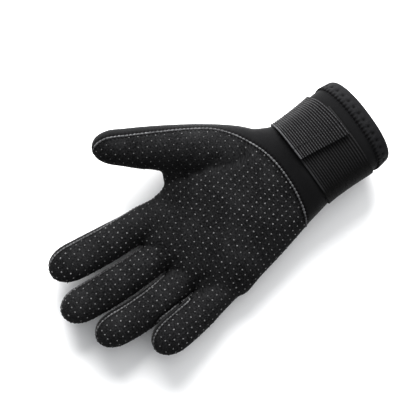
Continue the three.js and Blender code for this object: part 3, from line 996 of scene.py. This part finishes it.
def panelMesh(bm, flags, wanted):
    part = bm.copy()
    part.faces.ensure_lookup_table()
    gone = [f for f, flag in zip(part.faces, flags) if flag != wanted]
    bmesh.ops.delete(part, geom=gone, context="FACES")
    # the two edges stand a little apart under the bead
    value = part.verts.layers.float["palmSide"]
    edge = [v for v in part.verts if v.is_boundary and v[value] == 0]
    for vert in edge:
        near = [e.other_vert(vert) for e in vert.link_edges if not e.is_boundary]
        if near:
            inward = sum((v.co for v in near), Vector()) / len(near) - vert.co
            vert.co += inward.normalized() * seam["edgeGap"]
    mesh = bpy.data.meshes.new("panel")
    part.to_mesh(mesh)
    part.free()
    points = np.array([v.co for v in mesh.vertices])
    flat = fabricCoords(points, places(points))
    layer = mesh.uv_layers.new(name="cloth")
    corners = np.zeros(len(mesh.loops), int)
    mesh.loops.foreach_get("vertex_index", corners)
    layer.data.foreach_set("uv", flat[corners].ravel())
    return mesh, points, flat


def thicken(piece, thickness):
    walls = piece.modifiers.new("wall", "SOLIDIFY")
    walls.thickness = thickness / 1000
    walls.offset = -1
    walls.use_rim = True


def dotPlaces(mesh, points, flat, path):
    # a dot wherever the lattice of the flat cloth falls on the panel
    down = -(flat[:, 1] - dots["first"][1]) / dots["down"]
    across = (flat[:, 0] - dots["first"][0] - dots["shift"] * down) / dots["across"]
    grid = np.column_stack([across, down])
    mesh.calc_loop_triangles()
    corners = np.zeros(len(mesh.loop_triangles) * 3, int)
    mesh.loop_triangles.foreach_get("vertices", corners)
    corners = corners.reshape(-1, 3)
    tri = grid[corners]
    target = np.ceil(tri.min(1))
    hit = (target <= tri.max(1)).all(1)
    tri, target, corners = tri[hit], target[hit], corners[hit]
    one, two, spot = tri[:, 1] - tri[:, 0], tri[:, 2] - tri[:, 0], target - tri[:, 0]

    def cross(p, q):
        return p[:, 0] * q[:, 1] - p[:, 1] * q[:, 0]

    area = cross(one, two)
    area = np.where(abs(area) < 1e-12, 1e-12, area)
    v, w = cross(spot, two) / area, cross(one, spot) / area
    inside = (v >= 0) & (w >= 0) & (v + w <= 1)
    weights, corners = np.column_stack([1 - v - w, v, w])[inside], corners[inside]
    normals = np.array([n.vector for n in mesh.vertex_normals])
    spots, outs = ((field[corners] * weights[:, :, None]).sum(1) for field in (points, normals))
    return thinned(spots, outs, treeOf(path[:, :3]))


def thinned(spots, outs, seamTree):
    # none on the seam, and none too near another
    kept, keptOut = [], []
    cells = {}
    for spot, out in zip(spots, outs):
        if seamTree.find(spot)[2] < dots["fromSeam"]:
            continue
        cell = tuple((spot // dots["apart"]).astype(int))
        around = [q for i in (-1, 0, 1) for j in (-1, 0, 1) for k in (-1, 0, 1)
                  for q in cells.get((cell[0] + i, cell[1] + j, cell[2] + k), [])]
        if any(np.linalg.norm(spot - q) < dots["apart"] for q in around):
            continue
        cells.setdefault(cell, []).append(spot)
        kept.append(spot)
        keptOut.append(out)
    print("grip dots", len(kept))
    return kept, keptOut


def makeDots(spots, outs):
    random.seed(4)
    wheres = []
    onThumb = shares(places(np.array(spots)), skin["sharpCloth"])["thumb"]
    for spot, out, share in zip(spots, outs, onThumb):
        size = random.uniform(*dots["sizes"]) * (1 - (1 - dots["onThumb"]) * share)
        turn = random.uniform(0, 6.28)
        along = np.cross(out, (math.cos(turn), math.sin(turn), 0.3))
        wheres.append(frameAt(spot, along, out, (size, size * random.uniform(*dots["widths"]), size)))
    mesh = repeatShape(dome(dots["radius"], dots["height"]), wheres)
    finishPiece("grip_dots", mesh, "gripRubber", "grip_neoprene")


def makeBead(path, period, step):
    # a rounded bead with a notch at every stitch
    curve = bpy.data.curves.new("bead", "CURVE")
    curve.dimensions = "3D"
    curve.bevel_depth = 1
    curve.bevel_resolution = 2
    spline = curve.splines.new("POLY")
    spline.points.add(len(path) - 1)
    spline.use_cyclic_u = True
    random.seed(9)
    count = int(round(len(path) * step / period))
    lumps = [random.uniform(*seam["lumps"]) for _ in range(count + 1)]
    for i, row in enumerate(path):
        wave = math.cos(2 * math.pi * i * step / period)
        lump = lumps[int(i * step / period + 0.5)] * seam["bead"]
        height = seam["lift"][0] + seam["lift"][1] * wave
        spline.points[i].co = (*(row[:3] + row[3:] * height), 1)
        spline.points[i].radius = lump * (1 - seam["notch"] / 2 + seam["notch"] / 2 * wave)
    holder = makeObject("bead", curve)
    mesh = evaluated(holder)
    bpy.data.objects.remove(holder)
    finishPiece("seam_bead", mesh, "seamTapeAndSheen", "grip_neoprene")


def makeSeam(path, total):
    period = total / round(total / seam["stitch"])
    step = total / len(path)
    makeBead(path, period, step)
    wheres = []
    for k in range(int(round(total / period))):
        i = int(round((k + 0.5) * period / step)) % len(path)
        ahead = path[(i + 1) % len(path), :3] - path[i - 1, :3]
        out = path[i, 3:]
        across = np.cross(out, ahead)
        slanted = across / np.linalg.norm(across) + seam["slant"] * ahead / np.linalg.norm(ahead)
        wheres.append(frameAt(path[i, :3] + out * seam["bead"] * 0.5, slanted, out))
    finishPiece("seam_stitches", repeatShape(threadGrain(*seam["thread"]), wheres), "thread", "grip_neoprene")


def makeHand():
    bm, value = makeSkin()
    sides, edges = cutSeam(bm, value)
    loop = longestLoop(edges)
    bm.normal_update()
    swellSeamAndPaintShade(bm, loop)
    path, total = seamPath(loop)
    print("seam is", round(total), "mm long")
    flags = [sides[f] for f in bm.faces]
    palmMesh, points, flat = panelMesh(bm, flags, True)
    backMesh, _, _ = panelMesh(bm, flags, False)
    bm.free()
    spots, outs = dotPlaces(palmMesh, points, flat, path)
    panel = finishPiece("palm_grip_panel", palmMesh, "gripNeoprene", "grip_neoprene", "palm_panel")
    thicken(panel, skin["wall"])
    panel = finishPiece("back_smooth_panel", backMesh, "smoothNeoprene", "smooth_neoprene", "back_panel")
    thicken(panel, skin["wall"])
    makeDots(spots, outs)
    makeSeam(path, total)


# strap and tab
strap = {
    "width": 37, "thickness": 1.5, "fromWrist": 6, "gap": 0.3, "hook": 1.5,
    "rampStart": 378, "rampEnd": 416, "slant": 5.5,
    "ribs": 20, "ribShare": 3.2, "selvedge": 1.7, "loop": 1.55,
    # narrower where it is pulled round the thumb side, and less so towards the tab's end
    "drawnIn": 4.5, "drawnFrom": 180, "drawnOver": 150,
    "freeShare": 0.75, "freeFrom": 372, "freeOver": 76,
    "flatFrom": 122, "flatTo": 142, "flatShare": 0.3,
    "tackFromEnd": 6.5, "tack": (1.5, 0.28),
}
strips = {
    # from and to in degrees round the cuff, faces across and along, height of the ribs and their twist
    "band": {"start": 58, "end": 336, "across": 132, "along": 150, "ribs": 0.3, "twist": 0.25, "wall": 1.15},
    "tab": {"start": 336.6, "end": 450, "across": 154, "along": 200, "ribs": 0.55, "twist": 0.3,
            "wall": 1.05},
}
strapMiddle = strap["fromWrist"] + strap["width"] / 2


def arcAngles(distance, start, end, steps):
    # angles at equal lengths round the cuff
    section = cuffSection(distance)
    angles = np.linspace(start, end, 400)
    points = np.array([onSection(section, a) for a in angles])
    at = np.concatenate([[0], np.cumsum(np.linalg.norm(np.diff(points, axis=0), axis=1))])
    return np.interp(np.linspace(0, at[-1], steps), at, angles), at[-1]


def strapWidth(angle):
    drawn = eased((angle - strap["drawnFrom"]) / strap["drawnOver"])
    free = strap["freeShare"] * eased((angle - strap["freeFrom"]) / strap["freeOver"])
    return strap["width"] - strap["drawnIn"] * drawn * (1 - free)


def ribbed(share, s, depth, twist):
    # height of the webbing: a smooth selvedge to the hand, then ribs, with twisted loops along each
    edge = strap["selvedge"] / strap["width"]
    if share < edge:
        t = (share / edge - 0.5) * 2
        return depth * 1.1 * math.sqrt(max(1 - t * t, 0))
    rib = (share - edge) / (1 - edge) * strap["ribs"]
    t = rib % 1 - 0.5
    rounded = math.sqrt(max(1 - (strap["ribShare"] * t) ** 2, 0))
    turns = s / strap["loop"] + 0.5 * (int(rib) % 2) + 0.7 * t
    return depth * rounded * (1 - twist * (0.5 + 0.5 * math.cos(2 * math.pi * turns)))


def bandLift(angle):
    return strap["gap"]


def tabLift(angle):
    # the tab climbs onto the hook patch
    top = strap["gap"] * 3 + strap["thickness"] + strap["hook"]
    climb = eased((angle - strap["rampStart"]) / (strap["rampEnd"] - strap["rampStart"]))
    return strap["gap"] + (top - strap["gap"]) * climb


def cuffStrip(name, lift, slant):
    strip = strips[name]
    angles, length = arcAngles(strapMiddle, strip["start"], strip["end"], strip["along"] + 1)
    bm = bmesh.new()
    bmesh.ops.create_grid(bm, x_segments=strip["along"], y_segments=strip["across"], size=0.5)
    relief = bm.verts.layers.float.new("relief")
    for vert in bm.verts:
        u, share = vert.co.x + 0.5, vert.co.y + 0.5
        angle = angles[int(round(u * strip["along"]))] + slant * (share - 0.5) * u
        section = cuffSection(strap["fromWrist"] + share * strapWidth(angle))
        flat = eased((angle - strap["flatFrom"]) / (strap["flatTo"] - strap["flatFrom"]))
        flat = flat * (1 - strap["flatShare"]) if angle < strips["band"]["end"] else 0
        rise = ribbed(share, u * length, strip["ribs"], strip["twist"]) * (1 - flat)
        # painted shade: the material darkens the hollows between the ribs, where relief is low
        vert[relief] = min(rise / strip["ribs"], 1)
        vert.co = onSection(section, angle, lift(angle) + strap["thickness"] - strip["ribs"] + rise)
    mesh = bpy.data.meshes.new(name)
    bm.to_mesh(mesh)
    bm.free()
    # turned over if it points at the cuff's middle
    face = mesh.polygons[len(mesh.polygons) // 2]
    if np.array(face.normal) @ (np.array(face.center) - cuffSection(strapMiddle)["centre"]) < 0:
        mesh.flip_normals()
    return mesh


def makeTack():
    # a row of stitches across the tab, where its end is turned under
    turn = math.degrees(strap["tackFromEnd"] / cuffSection(strapMiddle)["half"])
    wheres = []
    for k in range(strap["ribs"]):
        share = (k + 0.5) / strap["ribs"]
        angle = strips["tab"]["end"] - turn + strap["slant"] * (share - 0.5)
        distance = strap["fromWrist"] + share * strapWidth(angle)
        place, ahead = (onSection(cuffSection(at), angle, tabLift(angle) + strap["thickness"])
                        for at in (distance, distance + 1))
        wheres.append(frameAt(place, ahead - place, place - cuffSection(distance)["centre"]))
    finishPiece("tab_stitches", repeatShape(threadGrain(*strap["tack"]), wheres), "thread", "tab_elastic")


def makeStrap():
    mesh = cuffStrip("band", bandLift, 0)
    band = finishPiece("strap_band_webbing", mesh, "strapElastic", "strap_elastic", "strap_band")
    thicken(band, strips["band"]["wall"])
    mesh = cuffStrip("tab", tabLift, strap["slant"])
    tab = finishPiece("strap_pull_tab", mesh, "tabElastic", "tab_elastic", "strap_tab")
    thicken(tab, strips["tab"]["wall"])
    makeTack()
    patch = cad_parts["hook_patch"]
    patch.data.materials.clear()
    patch.data.materials.append(materials["hookTape"])
    print("strap and tab")


# hem
hem = {
    "pitch": 5.5, "hole": 51.0, "edge": 47.5,
    # distance from the wrist line, height off the cuff: once round the folded edge
    "profile": [
        (47.0, 0.45), (46.9, 0.8), (47.4, 1.15), (49, 1.3), (51, 1.35), (53.5, 1.3), (55.3, 1.1),
        (56.3, 0.55), (56.6, -0.2), (56.6, -2), (56.3, -3), (55.5, -3.75), (54, -4.05), (51, -4.1),
        (48, -4.1), (47.1, -3.9), (47, -3.3), (47.8, -2.85), (51, -2.8), (54.9, -2.75), (55.3, -2.3),
        (55.3, -0.4), (54.9, 0.25), (51, 0.3), (47.8, 0.3),
    ],
    "around": 396, "across": 56,
    "outside": 0.4,             # tucks and stitch holes are on what stands higher than this
    "tuck": (0.22, 1.4), "swelling": (0.12, 2),         # height, width
    # how deep the stitch holes are, how much painted shade darkens them, and their width and length
    "holeDepth": 0.75, "holeShade": 0.9, "holeWidth": 0.8, "holeLength": 1.0,
    # a stitch: its length and radius, then where it starts and ends from the edge, how high, its skew
    "thread": (3.2, 0.2), "stitch": ((-1.6, 0.2), (0.8, 1.5)), "skew": 0.5,
    "lowest": 0.05, "lowestStitch": 0.3,
}


def hemTable():
    # the profile at equal steps
    line = np.array(smoothLine(hem["profile"] + hem["profile"][:1], 6))
    at = np.concatenate([[0], np.cumsum(np.linalg.norm(np.diff(line, axis=0), axis=1))])
    wanted = np.linspace(0, at[-1], hem["across"] + 1)
    return np.column_stack([np.interp(wanted, at, line[:, i]) for i in range(2)])


def hemReliefAndShade(distance, s, pitch):
    # how much the tucks and the stitch holes raise the hem, and how much painted shade darkens the troughs
    # and the holes
    tuck, width = hem["tuck"]
    wave = math.cos(4 * math.pi * s / pitch)
    tucked = hump(distance - hem["edge"], width)
    off = ((s / pitch) % 1 - 0.5) * pitch
    hole = hump(distance - hem["hole"], hem["holeWidth"]) * hump(off, hem["holeLength"])
    swelling, width = hem["swelling"]
    swollen = math.cos(2 * math.pi * s / pitch) * hump(distance - hem["hole"], width)
    high = tuck * wave * tucked - hem["holeDepth"] * hole + swelling * swollen
    return high, max(1 - hem["holeShade"] * hole - tucked * (0.5 - 0.5 * wave), 0)


def makeHemStitches(length, pitch):
    (start, low), (end, high) = hem["stitch"]
    count = int(round(length / (pitch / 2)))
    middle = cuffSection(hem["edge"])["centre"]
    wheres = []
    for angle in arcAngles(hem["hole"], 0, 360, count + 1)[0][:-1]:
        a = onSection(cuffSection(hem["edge"] + start), angle + hem["skew"], low)
        b = onSection(cuffSection(hem["edge"] + end), angle - hem["skew"], high)
        if min(a[2], b[2]) > hem["lowestStitch"]:
            wheres.append(frameAt((a + b) / 2, b - a, (a + b) / 2 - middle))
    finishPiece("hem_stitches", repeatShape(threadGrain(*hem["thread"]), wheres), "thread", "hem_neoprene")


def makeHem():
    profile = hemTable()
    angles, length = arcAngles(hem["hole"], 0, 360, hem["around"] + 1)
    pitch = length / round(length / hem["pitch"])
    sections = [cuffSection(distance) for distance, _ in profile]
    bm = bmesh.new()
    bmesh.ops.create_grid(bm, x_segments=hem["around"], y_segments=hem["across"], size=0.5)
    relief = bm.verts.layers.float.new("relief")
    for vert in bm.verts:
        i = int(round((vert.co.x + 0.5) * hem["around"]))
        j = int(round((vert.co.y + 0.5) * hem["across"]))
        distance, height = profile[j]
        # painted shade: the material darkens the troughs between the tucks and the stitch holes, where relief
        # is low
        vert[relief] = 1
        if height > hem["outside"]:
            high, vert[relief] = hemReliefAndShade(distance, i / hem["around"] * length, pitch)
            height += high
        vert.co = onSection(sections[j], angles[i], height)
    bmesh.ops.remove_doubles(bm, verts=bm.verts, dist=0.001)
    bmesh.ops.recalc_face_normals(bm, faces=bm.faces)
    for vert in bm.verts:
        vert.co.z = max(vert.co.z, hem["lowest"])
    mesh = bpy.data.meshes.new("hem")
    bm.to_mesh(mesh)
    bm.free()
    finishPiece("cuff_hem_fold", mesh, "hemNeoprene", "hem_neoprene", "cuff_hem")
    makeHemStitches(length, pitch)


makeHand()
makeStrap()
makeHem()
